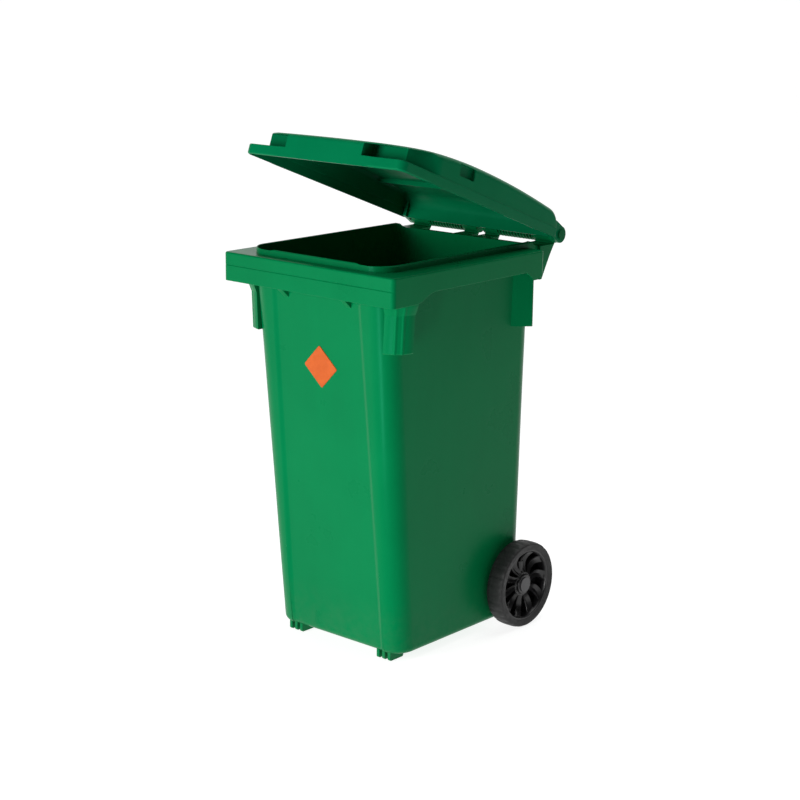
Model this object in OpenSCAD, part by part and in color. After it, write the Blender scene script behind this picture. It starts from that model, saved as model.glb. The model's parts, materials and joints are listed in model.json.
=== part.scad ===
// Two-wheeled wheelie bin: tub with comb rim, hinged lid, axle and two wheels.
// +X is the bin's left-to-right axis, the front faces -Y, +Z is up, the ground is Z = 0.
// The shapes are drawn with Y = 0 midway along the comb rim, then moved so that the origin
// lies under the middle of the bin with its lid at rest.

/* [Comb rim] */
// Width across the comb rim
comb_w = 490; // [400:5:600]
// Depth of the comb rim, from its front face to its rear corners
comb_d = 510; // [420:5:620]
// Height of the comb rim's top face above the ground
comb_top = 876; // [720:2:1060]
// Height of the front band and of the corner blocks
comb_band = 63; // [50:1:76]
// Height of the side bands between the corner blocks
side_band = 43; // [35:1:49]
// Thickness of the comb's skirt and top plate
comb_t = 5; // [4:0.5:7]
// Outer corner radius of the comb
comb_r = 12; // [8:1:16]
// Length of the front corner block along the side
front_block = 75; // [60:1:90]
// Length of the rear corner block along the side
rear_block = 40; // [34:1:50]
// Depth below the comb's top of the line round its front band
band_line = 28; // [20:1:36]
// Depth and width of that line
line_cut = 2; // [1:0.5:3]

/* [Tub] */
// How far the comb stands out past the tub's side walls
side_overhang = 48; // [40:1:58]
// How far the comb stands out past the tub's front wall
front_overhang = 30; // [20:1:40]
// How far the rear wall stands behind the comb's rear corners
rear_offset = 34; // [20:1:42]
// Inward draft of each side wall over its height
side_draft = 11.5; // [4:0.5:20]
// Inward draft of the front wall over its height
front_draft = 71; // [50:1:90]
// Inward draft of the rear wall over its height
rear_draft = 5; // [0:1:12]
// Outer radius of the tub's vertical corners
tub_r = 49; // [36:1:60]
// Wall thickness of the tub
wall = 4; // [3.5:0.5:6]
// Thickness of the tub's floor
floor_t = 5; // [4:0.5:8]
// Height of the tub's underside above the ground
base_z = 17; // [12:1:24]
// Distance of the front wall's sunk panel from the tub's sides, at its foot
panel_set = 63.5; // [56:0.5:72]
// Depth of the sunk panel
panel_sink = 4; // [2:0.5:5]

/* [Lip] */
// Width of the ledge between the lip and the comb's side
side_ledge = 44; // [36:1:50]
// Width of the ledge between the lip and the comb's front
front_ledge = 27; // [20:1:32]
// Height of the lip above the comb
lip_h = 14; // [10:1:16]
// Height of the rim along the rear wall
rear_rim_h = 2; // [1:0.5:3]

/* [Ribs and feet] */
// Width of each corner rib
rib_w = 21; // [15:1:24]
// How far each corner rib stands back from the comb's side face
rib_set = 16; // [12:1:20]
// Length of the corner ribs below the comb
rib_h = 108; // [80:1:130]
// Distance between the outer faces of the front gussets
gusset_gap = 188; // [150:1:220]
// Thickness of each front gusset
gusset_t = 16; // [10:1:20]
// Drop of the front gussets below the comb
gusset_drop = 26; // [18:1:34]
// Distance of each front foot's middle inside the tub's side
foot_set = 52.5; // [44:0.5:60]
// Length of each foot along Y
foot_l = 45; // [36:1:54]
// Width of one rib of a foot
foot_rib = 8; // [6:1:10]
// Number of ribs in a foot
foot_ribs = 3; // [2:1:3]

/* [Hinge and handles] */
// Distance of the hinge axis behind the comb's rear corners
hinge_back = 92; // [84:1:110]
// Height of the hinge axis above the comb's top face
hinge_up = 22; // [20:1:26]
// Diameter of the hinge barrels
barrel_d = 40; // [36:1:44]
// Diameter of the hand grips between the barrels
grip_d = 32; // [26:1:34]
// Length of each outer barrel
barrel_out_l = 54; // [44:1:64]
// Gap between the two middle barrels
barrel_gap = 18; // [14:1:24]
// Length of each middle barrel
barrel_mid_l = 43; // [34:1:52]
// Pitch of the finger ribs on the grips
grip_pitch = 8.5; // [7:0.5:12]
// Width of one finger rib
grip_rib = 4; // [3:0.5:5]
// Diameter of the hinge pins
pin_d = 14; // [12:1:16]
// Depth of each hinge pin in its barrel
pin_grip = 40; // [30:1:44]
// Diameter of the hinge pin's head
pin_head_d = 24; // [20:1:28]
// Thickness of the hinge pin's head
pin_head_t = 4; // [3:0.5:5]

/* [Lid] */
// How far the lid's sides stand back from the comb's sides
lid_side_set = 20.5; // [16:0.5:22]
// How far the closed lid's front stands back from the comb's front
lid_front_set = 13; // [8:1:20]
// Wall thickness of the lid
lid_t = 4; // [3:0.5:5]
// Height of the rim plane below the hinge axis
lid_drop = 12.5; // [10:0.5:13]
// Height of the lid at its rear
lid_rear_h = 60; // [50:1:70]
// Height of the lid at its crown
lid_crown_h = 74; // [66:1:86]
// Height of the lid at its front edge
lid_front_h = 52; // [46:1:60]
// Height of the band round the lid's lower edge
lid_band = 22; // [18:1:25]
// Front corner radius of the lid's band
lid_band_r = 18; // [12:1:24]
// Front corner radius of the lid's top
lid_top_r = 53; // [40:1:58]
// Width of the hand grips at the lid's front corners
lid_grip_w = 116.5; // [96:0.5:130]
// Depth of these hand grips
lid_grip_d = 58; // [44:1:68]
// Distance of the side pockets in front of the hinge axis
pocket_s = 378; // [320:1:400]
// Length of the side pockets
pocket_l = 52; // [40:1:60]
// Depth of the side pockets
pocket_d = 12; // [8:1:14]
// Thickness of the hinge ears
ear_t = 11; // [9:0.5:13]
// Lid angle above the closed position at rest
lid_rest = 20.9; // [5:0.1:60]

/* [Axle and wheels] */
// Wheel diameter
wheel_d = 200; // [170:1:240]
// Wheel width
wheel_w = 43; // [36:1:50]
// Distance between each wheel and the axle lug beside it
wheel_gap = 14.3; // [10:0.1:18]
// Distance of the axle in front of the rear wall's top
axle_in = 57; // [50:1:66]
// Axle diameter
axle_d = 20; // [18:1:24]
// Outer diameter of the rim, inside the tyre
rim_d = 164; // [150:1:170]
// Thickness of the rim's ring
rim_t = 6; // [4:0.5:8]
// Number of spokes
spokes = 10; // [6:1:12]
// Thickness of a spoke
spoke_t = 7; // [5:0.5:9]
// Hub diameter
hub_d = 46; // [42:1:52]
// How far the hub's outer end lies inside the wheel's outer face
hub_set = 8; // [5:0.5:12]
// Diameter of the hub cap
cap_d = 34; // [30:1:38]
// Diameter of the locking pins
lock_d = 8; // [6:0.5:9]
// Travel of the locking pins
lock_travel = 3; // [2:0.5:3]

/* [Label] */
// Side of the square label, set on its corner
label_side = 68; // [50:1:84]
// Distance of the label's middle below the comb's top
label_drop = 227; // [170:1:300]
// Thickness of the label
label_t = 1.6; // [1:0.2:2]

/* [Chip nest] */
// Bore of the chip nest under the right side of the comb
chip_d = 30; // [24:1:30]
// Depth of the chip nest
chip_depth = 20; // [12:1:24]
// Distance of the chip nest behind the comb's front
chip_back = 160; // [145:1:300]

/* [Hidden] */
fit_run = 0.05;       // radial running clearance of a pin or shaft
gap = 0.4;            // free gap beside moving pieces
green = [0, 0.55, 0.3];
black = [0.07, 0.07, 0.08];

// Hinge axis, and the shift that puts the origin under the bin's middle
hinge_y = comb_d / 2 + hinge_back;
hinge_z = comb_top + hinge_up;
origin_y = (hinge_y + barrel_d / 2 - comb_d / 2) / 2;
module in_frame() { translate([0, -origin_y, 0]) children(); }

// Tub sections: half width, front and rear at a height
tub_top_z = comb_top - comb_band;
function share(z) = (tub_top_z - z) / (tub_top_z - base_z);
function tub_x(z) = comb_w / 2 - side_overhang - side_draft * share(z);
function tub_front(z) = -comb_d / 2 + front_overhang + front_draft * share(z);
function tub_rear(z) = comb_d / 2 + rear_offset - rear_draft * share(z);
front_tilt = atan(front_draft / (tub_top_z - base_z));

// Widths that follow from the comb and the tub
panel_w = 2 * (tub_x(base_z) - panel_set);
foot_x = tub_x(base_z) - foot_set;
lid_w = comb_w - 2 * lid_side_set;
ear_out = lid_w / 2 - lid_t - 0.5;
ear_x = ear_out - ear_t;
barrel_out = ear_x - 2.5 * gap;

// Axle, and the tunnel for it under the tub's rear
axle_y = comb_d / 2 + rear_offset - axle_in;
tunnel_front = 45;
tunnel_up = 50;

// A rectangle with round corners: front corners first, then rear corners
function arc(cx, cy, r, a0, a1, n = 6) =
    [for (i = [0:n]) let (a = a0 + (a1 - a0) * i / n) [cx + r * cos(a), cy + r * sin(a)]];
function round_box(hx, y0, y1, r0, r1) = concat(
    arc(-hx + r0, y0 + r0, r0, 180, 270), arc(hx - r0, y0 + r0, r0, 270, 360),
    arc(hx - r1, y1 - r1, r1, 0, 90), arc(-hx + r1, y1 - r1, r1, 90, 180));

module both_sides() {
    children();
    mirror([1, 0, 0]) children();
}
// Extrudes an outline drawn in the YZ plane along X, from x0 to x1
module slab_x(x0, x1) {
    translate([x0, 0, 0]) rotate([90, 0, 90]) linear_extrude(x1 - x0) children();
}
// A cylinder along X from x0 to x1
module rod_x(x0, x1, d) {
    translate([x0, 0, 0]) rotate([0, 90, 0]) cylinder(h = x1 - x0, d = d, $fn = 64);
}

// ---- Tub ----
module tub_slice(z, inset, front_inset) {
    translate([0, 0, z]) linear_extrude(0.01)
        polygon(round_box(tub_x(z) - inset, tub_front(z) + front_inset, tub_rear(z) - inset,
                          tub_r - inset, tub_r - inset));
}
module tub_outer() {
    edge = 12;
    hull() {
        tub_slice(base_z, edge, edge);
        tub_slice(base_z + edge, 0, 0);
        tub_slice(comb_top - comb_t, 0, 0);
    }
}
module tub_inner() {
    edge = 12;
    front = wall + panel_sink;
    hull() {
        tub_slice(base_z + floor_t, wall + edge, front + edge);
        tub_slice(base_z + floor_t + edge, wall, front);
        tub_slice(comb_top + lip_h + 1, wall, front);
    }
}
// Block that clears the axle; skin is the wall left round it
module tunnel(skin) {
    deep = comb_d;
    translate([-comb_w / 2, axle_y - tunnel_front - skin, -1])
        cube([comb_w, deep, wheel_d / 2 + tunnel_up + skin + 1]);
}
// Sunk panel, parallel to the front wall
module panel_cut() {
    long = tub_top_z - base_z + 10;
    translate([0, tub_front(base_z), base_z]) rotate([front_tilt, 0, 0])
        translate([-panel_w / 2, -20, -5]) cube([panel_w, 20 + panel_sink, long / cos(front_tilt)]);
}

// ---- Comb and lip ----
comb_front = -comb_d / 2;
comb_rear = comb_d / 2;
module comb_plan(inset = 0) {
    polygon(round_box(comb_w / 2 - inset, comb_front + inset, comb_rear - inset,
                      comb_r - inset / 2, comb_r - inset / 2));
}
// Side view of the comb: full height at the corner blocks, lower between them
module comb_side() {
    low = comb_top - comb_band;
    mid = comb_top - side_band;
    rise = comb_band - side_band;
    slope = 3 * rise;
    corner = 25;
    polygon(concat(
        [[comb_front - 1, comb_top], [comb_front - 1, low], [comb_front + front_block, low],
         [comb_front + front_block + slope, mid], [comb_rear - rear_block - rise, mid],
         [comb_rear - rear_block, low]],
        arc(comb_rear - corner + 1, low + corner, corner, 270, 360),
        [[comb_rear + 1, comb_top]]));
}
module comb() {
    intersection() {
        difference() {
            translate([0, 0, comb_top - comb_band]) linear_extrude(comb_band) comb_plan();
            translate([0, 0, comb_top - comb_band - 1]) linear_extrude(comb_band - comb_t + 1)
                comb_plan(comb_t);
        }
        slab_x(-comb_w / 2 - 1, comb_w / 2 + 1) comb_side();
    }
}
module band_groove() {
    z = comb_top - band_line;
    reach = comb_w / 2 - comb_r;
    translate([-reach, comb_front - 1, z]) cube([2 * reach, 1 + line_cut, line_cut]);
}
lip_x = comb_w / 2 - side_ledge;
lip_front = comb_front + front_ledge;
lip_r = tub_r + 2;
lip_rear = tub_rear(tub_top_z) + 7;
module lip() {
    root = comb_top - comb_t;
    side_end = comb_rear + 5;
    intersection() {
        translate([0, 0, root]) linear_extrude(comb_t + lip_h)
            polygon(round_box(lip_x, lip_front, lip_rear, lip_r, comb_r));
        slab_x(-comb_w, comb_w) polygon([
            [comb_front, root - 1], [lip_rear + 1, root - 1], [lip_rear + 1, comb_top + rear_rim_h],
            [side_end + lip_h, comb_top + rear_rim_h], [side_end, comb_top + lip_h],
            [comb_front, comb_top + lip_h]]);
    }
}
// Rim along the rear wall, down to the comb's side height
module rear_rim() {
    translate([0, 0, comb_top - side_band]) linear_extrude(side_band)
        polygon(round_box(lip_x, comb_rear - tub_r, lip_rear, comb_r, comb_r));
}

// ---- Ribs, gussets, feet ----
front_rib_y = comb_front + front_block - 6;
rear_rib_y = comb_rear - rear_block + 7;
module corner_ribs() {
    z0 = comb_top - comb_band - rib_h;
    root = tub_x(z0) - wall / 2;
    reach = comb_w / 2 - rib_set - root;
    for (y = [front_rib_y, rear_rib_y])
        both_sides() translate([root, y, z0]) cube([reach, rib_w, comb_top - comb_t / 2 - z0]);
}
module gussets() {
    low = comb_top - comb_band;
    inner = comb_top - comb_t / 2;
    root = tub_front(low) + wall;
    x0 = gusset_gap / 2 - gusset_t;
    both_sides() slab_x(x0, x0 + gusset_t) polygon([
        [comb_front + comb_t / 2, inner], [comb_front + comb_t / 2, low],
        [tub_front(low - gusset_drop) + panel_sink, low - gusset_drop], [root, low], [root, inner]]);
}
foot_y = tub_front(base_z) + 8;
module feet() {
    pitch = 2 * foot_rib;
    first = foot_x - pitch * (foot_ribs - 1) / 2 - foot_rib / 2;
    both_sides() for (i = [0:foot_ribs - 1])
        translate([first + i * pitch, foot_y, 0]) cube([foot_rib, foot_l, base_z + floor_t / 2]);
}

// ---- Hinge barrels, grips and their brackets ----
mid_x0 = barrel_gap / 2;
mid_x1 = mid_x0 + barrel_mid_l;
out_x0 = barrel_out - barrel_out_l;
bracket_t = 12;
module bracket(x0) {
    rear = tub_rear(tub_top_z) - wall / 2;
    top = comb_top + rear_rim_h;
    drop = 75;
    slab_x(x0, x0 + bracket_t) polygon([
        [rear, top], [hinge_y - barrel_d / 4, top], [hinge_y, hinge_z - barrel_d / 4],
        [hinge_y - 5, hinge_z - barrel_d / 2 + 1], [hinge_y - 35, hinge_z - drop + 6],
        [lip_rear, comb_top - drop], [rear, comb_top - drop]]);
}
module handle_half() {
    translate([0, hinge_y, hinge_z]) {
        rod_x(mid_x0, mid_x1, barrel_d);
        rod_x(out_x0, barrel_out, barrel_d);
        rod_x(mid_x1 - 1, out_x0 + 1, grip_d);
        for (x = [mid_x1 + grip_pitch / 2 : grip_pitch : out_x0 - grip_rib])
            rod_x(x, x + grip_rib, barrel_d);
    }
    for (x = [mid_x0, mid_x1 - bracket_t, out_x0, barrel_out - bracket_t]) bracket(x);
}

// ---- Axle lugs ----
lug_t = 12;
lug_out = tub_x(wheel_d / 2) - 3;
module axle_lugs() {
    z1 = wheel_d / 2 + tunnel_up + wall / 2;
    y0 = axle_y - tunnel_front - wall / 2;
    nose = axle_d / 2 + 10;
    for (x = [70, lug_out - lug_t]) both_sides() slab_x(x, x + lug_t) polygon(concat(
        [[y0, z1], [y0, wheel_d / 2 - nose]],
        arc(axle_y, wheel_d / 2, nose, 270, 360),
        [[axle_y + nose + 12, z1]]));
}

// ---- Chip nest, a blind bore that opens downwards ----
chip_boss = chip_d + 6;
chip_x = comb_w / 2 - comb_t - chip_boss / 2 - 1;
chip_floor = comb_top - comb_t;
module at_chip(z) { translate([chip_x, comb_front + chip_back, z]) children(); }
module chip_nest() {
    at_chip(chip_floor - chip_depth) cylinder(h = chip_depth + comb_t / 2, d = chip_boss, $fn = 64);
}
module chip_bore() {
    at_chip(chip_floor - chip_depth - 1) cylinder(h = chip_depth + 1, d = chip_d, $fn = 64);
}

module body() {
    color(green) in_frame() difference() {
        union() {
            difference() {
                union() {
                    tub_outer();
                    lip();
                    rear_rim();
                    comb();
                }
                tunnel(0);
                difference() {
                    tub_inner();
                    tunnel(wall);
                }
                panel_cut();
            }
            difference() {
                union() {
                    corner_ribs();
                    gussets();
                    chip_nest();
                }
                tub_inner();
            }
            feet();
            both_sides() handle_half();
            axle_lugs();
        }
        band_groove();
        chip_bore();
        translate([0, hinge_y, hinge_z]) both_sides() rod_x(barrel_out - pin_grip, barrel_out + 1, pin_d);
        translate([0, axle_y, wheel_d / 2]) rod_x(-comb_w / 2, comb_w / 2, axle_d);
    }
}

// ---- Lid, drawn closed with the hinge axis as its origin ----
lid_len = hinge_y - comb_front - lid_front_set;
lid_rear_s = barrel_d / 2 + 4;
lid_rear_r = 34;
crown_s = 320;
function lid_top(s) = s > crown_s
    ? lid_crown_h - (lid_crown_h - lid_front_h) * pow((s - crown_s) / (lid_len - crown_s), 2)
    : lid_crown_h - (lid_crown_h - lid_rear_h) * pow((crown_s - s) / (crown_s - 58), 2);
// Side view of the lid from its rim plane up, inset by a wall; s runs forward as -Y
function lid_profile(inset, foot) = concat(
    [[-(lid_rear_s + inset), foot]],
    [for (a = [0:15:75]) let (s = lid_rear_s + lid_rear_r * (1 - cos(a)))
        [-(s + inset), lid_rear_h - lid_rear_r + lid_rear_r * sin(a) - inset]],
    [for (i = [0:12]) let (s = lid_rear_s + lid_rear_r + (lid_len - lid_rear_s - lid_rear_r) * i / 12)
        [-(s - inset * i / 12), lid_top(s) - inset]],
    [[-(lid_len - inset), foot]]);
module lid_block(inset, foot) {
    translate([0, 0, -lid_drop]) intersection() {
        slab_x(-lid_w / 2 + inset, lid_w / 2 - inset) polygon(lid_profile(inset, foot));
        translate([0, 0, -2]) linear_extrude(lid_crown_h + 4)
            polygon(round_box(lid_w / 2 - inset, -lid_len + inset, -lid_rear_s - inset,
                              lid_band_r - inset / 2, lid_band_r - inset / 2));
    }
}
// Front corner of the lid's top, cut to its larger radius
module top_corner() {
    r = lid_top_r;
    translate([lid_w / 2 - r, -lid_len + r, lid_band - lid_drop]) difference() {
        translate([0, -r - 1, 0]) cube([r + 1, r + 1, lid_crown_h]);
        translate([0, 0, -1]) cylinder(h = lid_crown_h + 2, r = r, $fn = 64);
    }
}
grip_roof = lid_front_h - lid_t - 2;
// Space of a corner grip; with a skin it runs up through the roof
module grip_space(skin) {
    roof = skin > 0 ? lid_crown_h : grip_roof;
    translate([lid_w / 2 - lid_grip_w - skin, -lid_len - 1, lid_band - skin - lid_drop])
        cube([lid_grip_w + skin + 1, lid_grip_d + skin + 1, roof - lid_band + skin]);
}
pocket_z = 40 - lid_drop;
pocket_h = 26;
module pocket_space(skin) {
    translate([lid_w / 2 - pocket_d - skin, -pocket_s - pocket_l / 2 - skin, pocket_z - skin])
        cube([pocket_d + skin + 1, pocket_l + 2 * skin, pocket_h + 2 * skin]);
}
module ear() {
    difference() {
        union() {
            rod_x(ear_x, ear_out, barrel_d - 2);
            slab_x(ear_x, ear_out) polygon([
                [0, barrel_d / 2 - 1], [-lid_rear_s - lid_t / 2, 26], [-lid_rear_s - 12, 26],
                [-lid_rear_s - 12, -lid_drop + 2], [-lid_rear_s, -lid_drop], [0, -barrel_d / 2 + 1]]);
        }
        rod_x(ear_x - 1, lid_w / 2 + 1, pin_d + 2 * fit_run);
    }
}
module lid_closed() {
    difference() {
        union() {
            difference() {
                lid_block(0, 0);
                difference() {
                    lid_block(lid_t, -1);
                    both_sides() grip_space(lid_t);
                    both_sides() pocket_space(lid_t);
                }
            }
            both_sides() ear();
        }
        both_sides() {
            grip_space(0);
            pocket_space(0);
            top_corner();
        }
    }
}
closed_tilt = asin((hinge_up - lid_drop - 1) / lid_len);
module at_lid() {
    translate([0, hinge_y, hinge_z]) rotate([closed_tilt - lid_rest, 0, 0]) children();
}
module lid() { color(green) in_frame() at_lid() lid_closed(); }

// ---- Hinge pins ----
module hinge_pin() {
    in_frame() translate([0, hinge_y, hinge_z]) {
        rod_x(barrel_out - pin_grip, ear_out + gap, pin_d);
        rod_x(ear_out + gap, ear_out + gap + pin_head_t, pin_head_d);
    }
}
module hinge_pin_right() { color("darkgreen") hinge_pin(); }
module hinge_pin_left() { color("darkgreen") mirror([1, 0, 0]) hinge_pin(); }

// ---- Axle and wheels, drawn for the right side with the axle as their origin ----
wheel_in = lug_out + wheel_gap;
wheel_out = wheel_in + wheel_w;
hub_out = wheel_out - hub_set;
hub_in = wheel_in - 1;
axle_end = hub_out - 8;
lock_x = axle_end - 9;
groove_d = axle_d - 4;
groove_w = lock_d + 2 * gap;
module at_axle() { in_frame() translate([0, axle_y, wheel_d / 2]) children(); }
module axle() {
    color("silver") at_axle() difference() {
        rod_x(-axle_end, axle_end, axle_d);
        both_sides() difference() {
            rod_x(lock_x - groove_w / 2, lock_x + groove_w / 2, axle_d + 1);
            rod_x(lock_x - groove_w, lock_x + groove_w, groove_d);
        }
    }
}
// Ring profile round the X axis, from an outline of [radius, x] points
module ring_x(points) {
    rotate([0, 90, 0]) rotate_extrude($fn = 96) polygon(points);
}
tower_d = lock_d + 8;
tower_r = rim_d / 2 - rim_t - 22;
tower_floor = tower_r - 4;
module spoke(a) {
    rotate([a, 0, 0]) translate([wheel_in + 9, -spoke_t / 2, hub_d / 2 - 3])
        cube([wheel_w - 18, spoke_t, rim_d / 2 - rim_t / 2 - hub_d / 2 + 3]);
}
module wheel() {
    difference() {
        union() {
            ring_x([[rim_d / 2 - rim_t, wheel_in + 3], [rim_d / 2, wheel_in + 3],
                    [rim_d / 2, wheel_out - 3], [rim_d / 2 - rim_t, wheel_out - 3]]);
            rod_x(hub_in, hub_out, hub_d);
            for (i = [0:spokes - 1]) spoke(i * 360 / spokes);
            translate([lock_x, 0, 0]) cylinder(h = tower_r, d = tower_d, $fn = 48);
        }
        rod_x(hub_in - 1, axle_end + gap, axle_d + 2 * fit_run);
        rod_x(axle_end, hub_out - 5, axle_d + 2 * fit_run);
        rod_x(hub_out - 6, hub_out + 1, cap_d - 6);
        translate([lock_x, 0, 0]) cylinder(h = tower_floor, d = lock_d + 2 * fit_run, $fn = 48);
    }
}
module wheel_right() { color(black) at_axle() wheel(); }
module wheel_left() { color(black) mirror([1, 0, 0]) at_axle() wheel(); }

module tyre() {
    r = wheel_d / 2;
    bevel = 6;
    ring_x([[rim_d / 2, wheel_in + 1], [r - bevel, wheel_in], [r, wheel_in + bevel],
            [r, wheel_out - bevel], [r - bevel, wheel_out], [rim_d / 2, wheel_out - 1]]);
}
module tyre_right() { color("dimgray") at_axle() tyre(); }
module tyre_left() { color("dimgray") mirror([1, 0, 0]) at_axle() tyre(); }

module hub_cap() {
    rod_x(hub_out, hub_out + 2.5, cap_d);
    difference() {
        rod_x(hub_out - 5, hub_out + 1, cap_d - 6);
        rod_x(hub_out - 6, hub_out, cap_d - 10);
    }
}
module hub_cap_right() { color("gray") at_axle() hub_cap(); }
module hub_cap_left() { color("gray") mirror([1, 0, 0]) at_axle() hub_cap(); }

// Locking pin in the hub, its nose in the axle's groove, and the spring behind it
spring_wire = 1;
spring_coils = 6;
spring_l = spring_coils * (spring_wire + lock_travel);
lock_foot = groove_d / 2 + 0.3;
lock_top = tower_floor - spring_l;
module lock_pin() {
    translate([lock_x, 0, lock_foot]) cylinder(h = lock_top - lock_foot, d = lock_d, $fn = 48);
}
module lock_pin_right() { color("silver") at_axle() lock_pin(); }
module lock_pin_left() { color("silver") mirror([1, 0, 0]) at_axle() lock_pin(); }

spring_r = lock_d / 2 - spring_wire / 2 - gap;
spring_z0 = lock_top + spring_wire / 2 + 0.1;
spring_z1 = tower_floor - spring_wire / 2 - 0.1;
spring_steps = spring_coils * 12;
spring_sides = 8;
function spring_at(i) = let (a = i * 30)
    [spring_r * cos(a), spring_r * sin(a), spring_z0 + (spring_z1 - spring_z0) * i / spring_steps];
function spring_ring(i) = let (c = spring_at(i), a = i * 30)
    [for (j = [0:spring_sides - 1]) let (b = j * 360 / spring_sides)
        c + spring_wire / 2 * (cos(b) * [cos(a), sin(a), 0] + sin(b) * [0, 0, 1])];
module lock_spring() {
    n = spring_sides;
    points = [for (i = [0:spring_steps]) each spring_ring(i)];
    sides = [for (i = [0:spring_steps - 1], j = [0:n - 1])
        [i * n + j, i * n + (j + 1) % n, (i + 1) * n + (j + 1) % n, (i + 1) * n + j]];
    first = [for (j = [0:n - 1]) n - 1 - j];
    last = [for (j = [0:n - 1]) spring_steps * n + j];
    translate([lock_x, 0, 0]) polyhedron(points, concat(sides, [first, last]));
}
module lock_spring_right() { color("silver") at_axle() lock_spring(); }
module lock_spring_left() { color("silver") mirror([1, 0, 0]) at_axle() lock_spring(); }

module axle_spacer() {
    difference() {
        rod_x(lug_out + gap, hub_in - gap, axle_d + 12);
        rod_x(lug_out, hub_in, axle_d + 2 * fit_run);
    }
}
module axle_spacer_right() { color(black) at_axle() axle_spacer(); }
module axle_spacer_left() { color(black) mirror([1, 0, 0]) at_axle() axle_spacer(); }

// ---- Label, lying in the sunk front panel ----
module label_plate() {
    color("orangered") in_frame()
        translate([0, tub_front(base_z), base_z]) rotate([front_tilt, 0, 0])
        translate([0, panel_sink, (comb_top - label_drop - base_z) / cos(front_tilt)]) rotate([90, 45, 0])
        linear_extrude(label_t) square(label_side, center = true);
}

body();
lid();
hinge_pin_left();
hinge_pin_right();
axle();
wheel_left();
wheel_right();
tyre_left();
tyre_right();
hub_cap_left();
hub_cap_right();
lock_pin_left();
lock_pin_right();
lock_spring_left();
lock_spring_right();
axle_spacer_left();
axle_spacer_right();
label_plate();
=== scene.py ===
"""Looks of the wheelie bin: moulded tub and lid, spoked wheels, label, studio and camera.

Shapes are worked out in millimetres in the shared frame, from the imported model's boxes and joints.
"""

import json
import math

import bmesh
import bpy
import numpy as np
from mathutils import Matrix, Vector


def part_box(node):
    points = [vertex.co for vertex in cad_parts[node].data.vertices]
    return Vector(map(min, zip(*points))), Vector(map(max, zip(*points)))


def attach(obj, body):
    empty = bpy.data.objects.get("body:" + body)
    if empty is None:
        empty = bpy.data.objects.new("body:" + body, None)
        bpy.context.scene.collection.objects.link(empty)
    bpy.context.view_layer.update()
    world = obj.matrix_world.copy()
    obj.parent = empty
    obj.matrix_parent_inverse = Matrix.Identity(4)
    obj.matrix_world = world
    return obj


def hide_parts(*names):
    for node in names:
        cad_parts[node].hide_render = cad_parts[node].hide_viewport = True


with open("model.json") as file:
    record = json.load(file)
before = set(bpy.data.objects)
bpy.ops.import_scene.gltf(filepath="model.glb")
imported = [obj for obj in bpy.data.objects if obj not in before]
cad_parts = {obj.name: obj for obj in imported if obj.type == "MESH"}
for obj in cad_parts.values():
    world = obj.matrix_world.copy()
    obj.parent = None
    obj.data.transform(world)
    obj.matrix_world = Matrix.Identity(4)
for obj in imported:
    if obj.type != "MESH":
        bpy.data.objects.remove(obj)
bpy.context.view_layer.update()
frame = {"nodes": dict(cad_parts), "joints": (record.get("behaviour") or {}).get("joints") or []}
MM = 0.001
BEYOND = 9                # how far a cutting shape reaches past the surface it opens
BORE_EDGE = 0.1           # rounding at the ends of a boring tool
VIEW_AZIMUTH = 40.7       # degrees from the bin's front to the camera


# ---- Places taken from the frame, in millimetres ----
def node_box(node):
    lo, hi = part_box(node)
    return np.array(lo) / MM, np.array(hi) / MM


def joint_place(name):
    joint = next(j for j in frame["joints"] if j["name"] == name)
    return np.array(joint["pos_m"]) / MM


body_lo, body_hi = node_box("body")
HINGE_Y, HINGE_Z = joint_place("lid_hinge")[1:]
AXLE_Y, AXLE_Z = joint_place("wheel_right_spin")[1:]
LID_REST = 20.07          # degrees between the lid's rim plane and the horizontal, at rest

# Comb rim
HINGE_RISE = 22
HINGE_REACH = 92
COMB_X = -body_lo[0]
COMB_FRONT = body_lo[1]
COMB_TOP = HINGE_Z - HINGE_RISE
COMB_REAR = HINGE_Y - HINGE_REACH
COMB_BAND = 63
SIDE_BAND = 43
COMB_T = 5
FRONT_BLOCK = 75
REAR_BLOCK = 40
BAND_LINE = 28
REAR_CORNER_R = 25

# Tub
TUB_TOP = COMB_TOP - COMB_BAND
BASE_Z = 17
FLOOR_T = 5
WALL = 4
TUB_R = 49
SIDE_SET = 48
SIDE_TAPER = 11.5
FRONT_SET = 30
FRONT_TAPER = 71
REAR_SET = 34
REAR_TAPER = 5
PANEL_HALF = 116
PANEL_SPREAD = 12
PANEL_SINK = 4
PANEL_STEP = 14
RIB_REACH = 229
RIB_R = 49
RIB_DROP = 108
RIDGES = (38, 57)
RIDGE_SPAN = 4.5
RIDGE_H = 1.6
TUB_STEPS = 34

# Lip round the mouth
LIP_X = COMB_X - 44
LIP_FRONT = COMB_FRONT + 27
LIP_H = 14
LIP_R = 51
LIP_REAR_R = 12
REAR_RIM_H = 2
RIM_TOP = COMB_TOP + REAR_RIM_H


def draft(z):
    """0 at the comb's underside, 1 at the tub's foot."""
    return (TUB_TOP - z) / (TUB_TOP - BASE_Z)


def tub_x(z):
    """Half width of the tub at a height."""
    return COMB_X - SIDE_SET - SIDE_TAPER * draft(z)


def tub_front(z):
    """Place of the tub's front wall at a height."""
    return COMB_FRONT + FRONT_SET + FRONT_TAPER * draft(z)


def tub_rear(z):
    """Place of the tub's rear wall at a height."""
    return COMB_REAR + REAR_SET - REAR_TAPER * draft(z)


LIP_REAR = tub_rear(TUB_TOP) + 7


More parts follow.
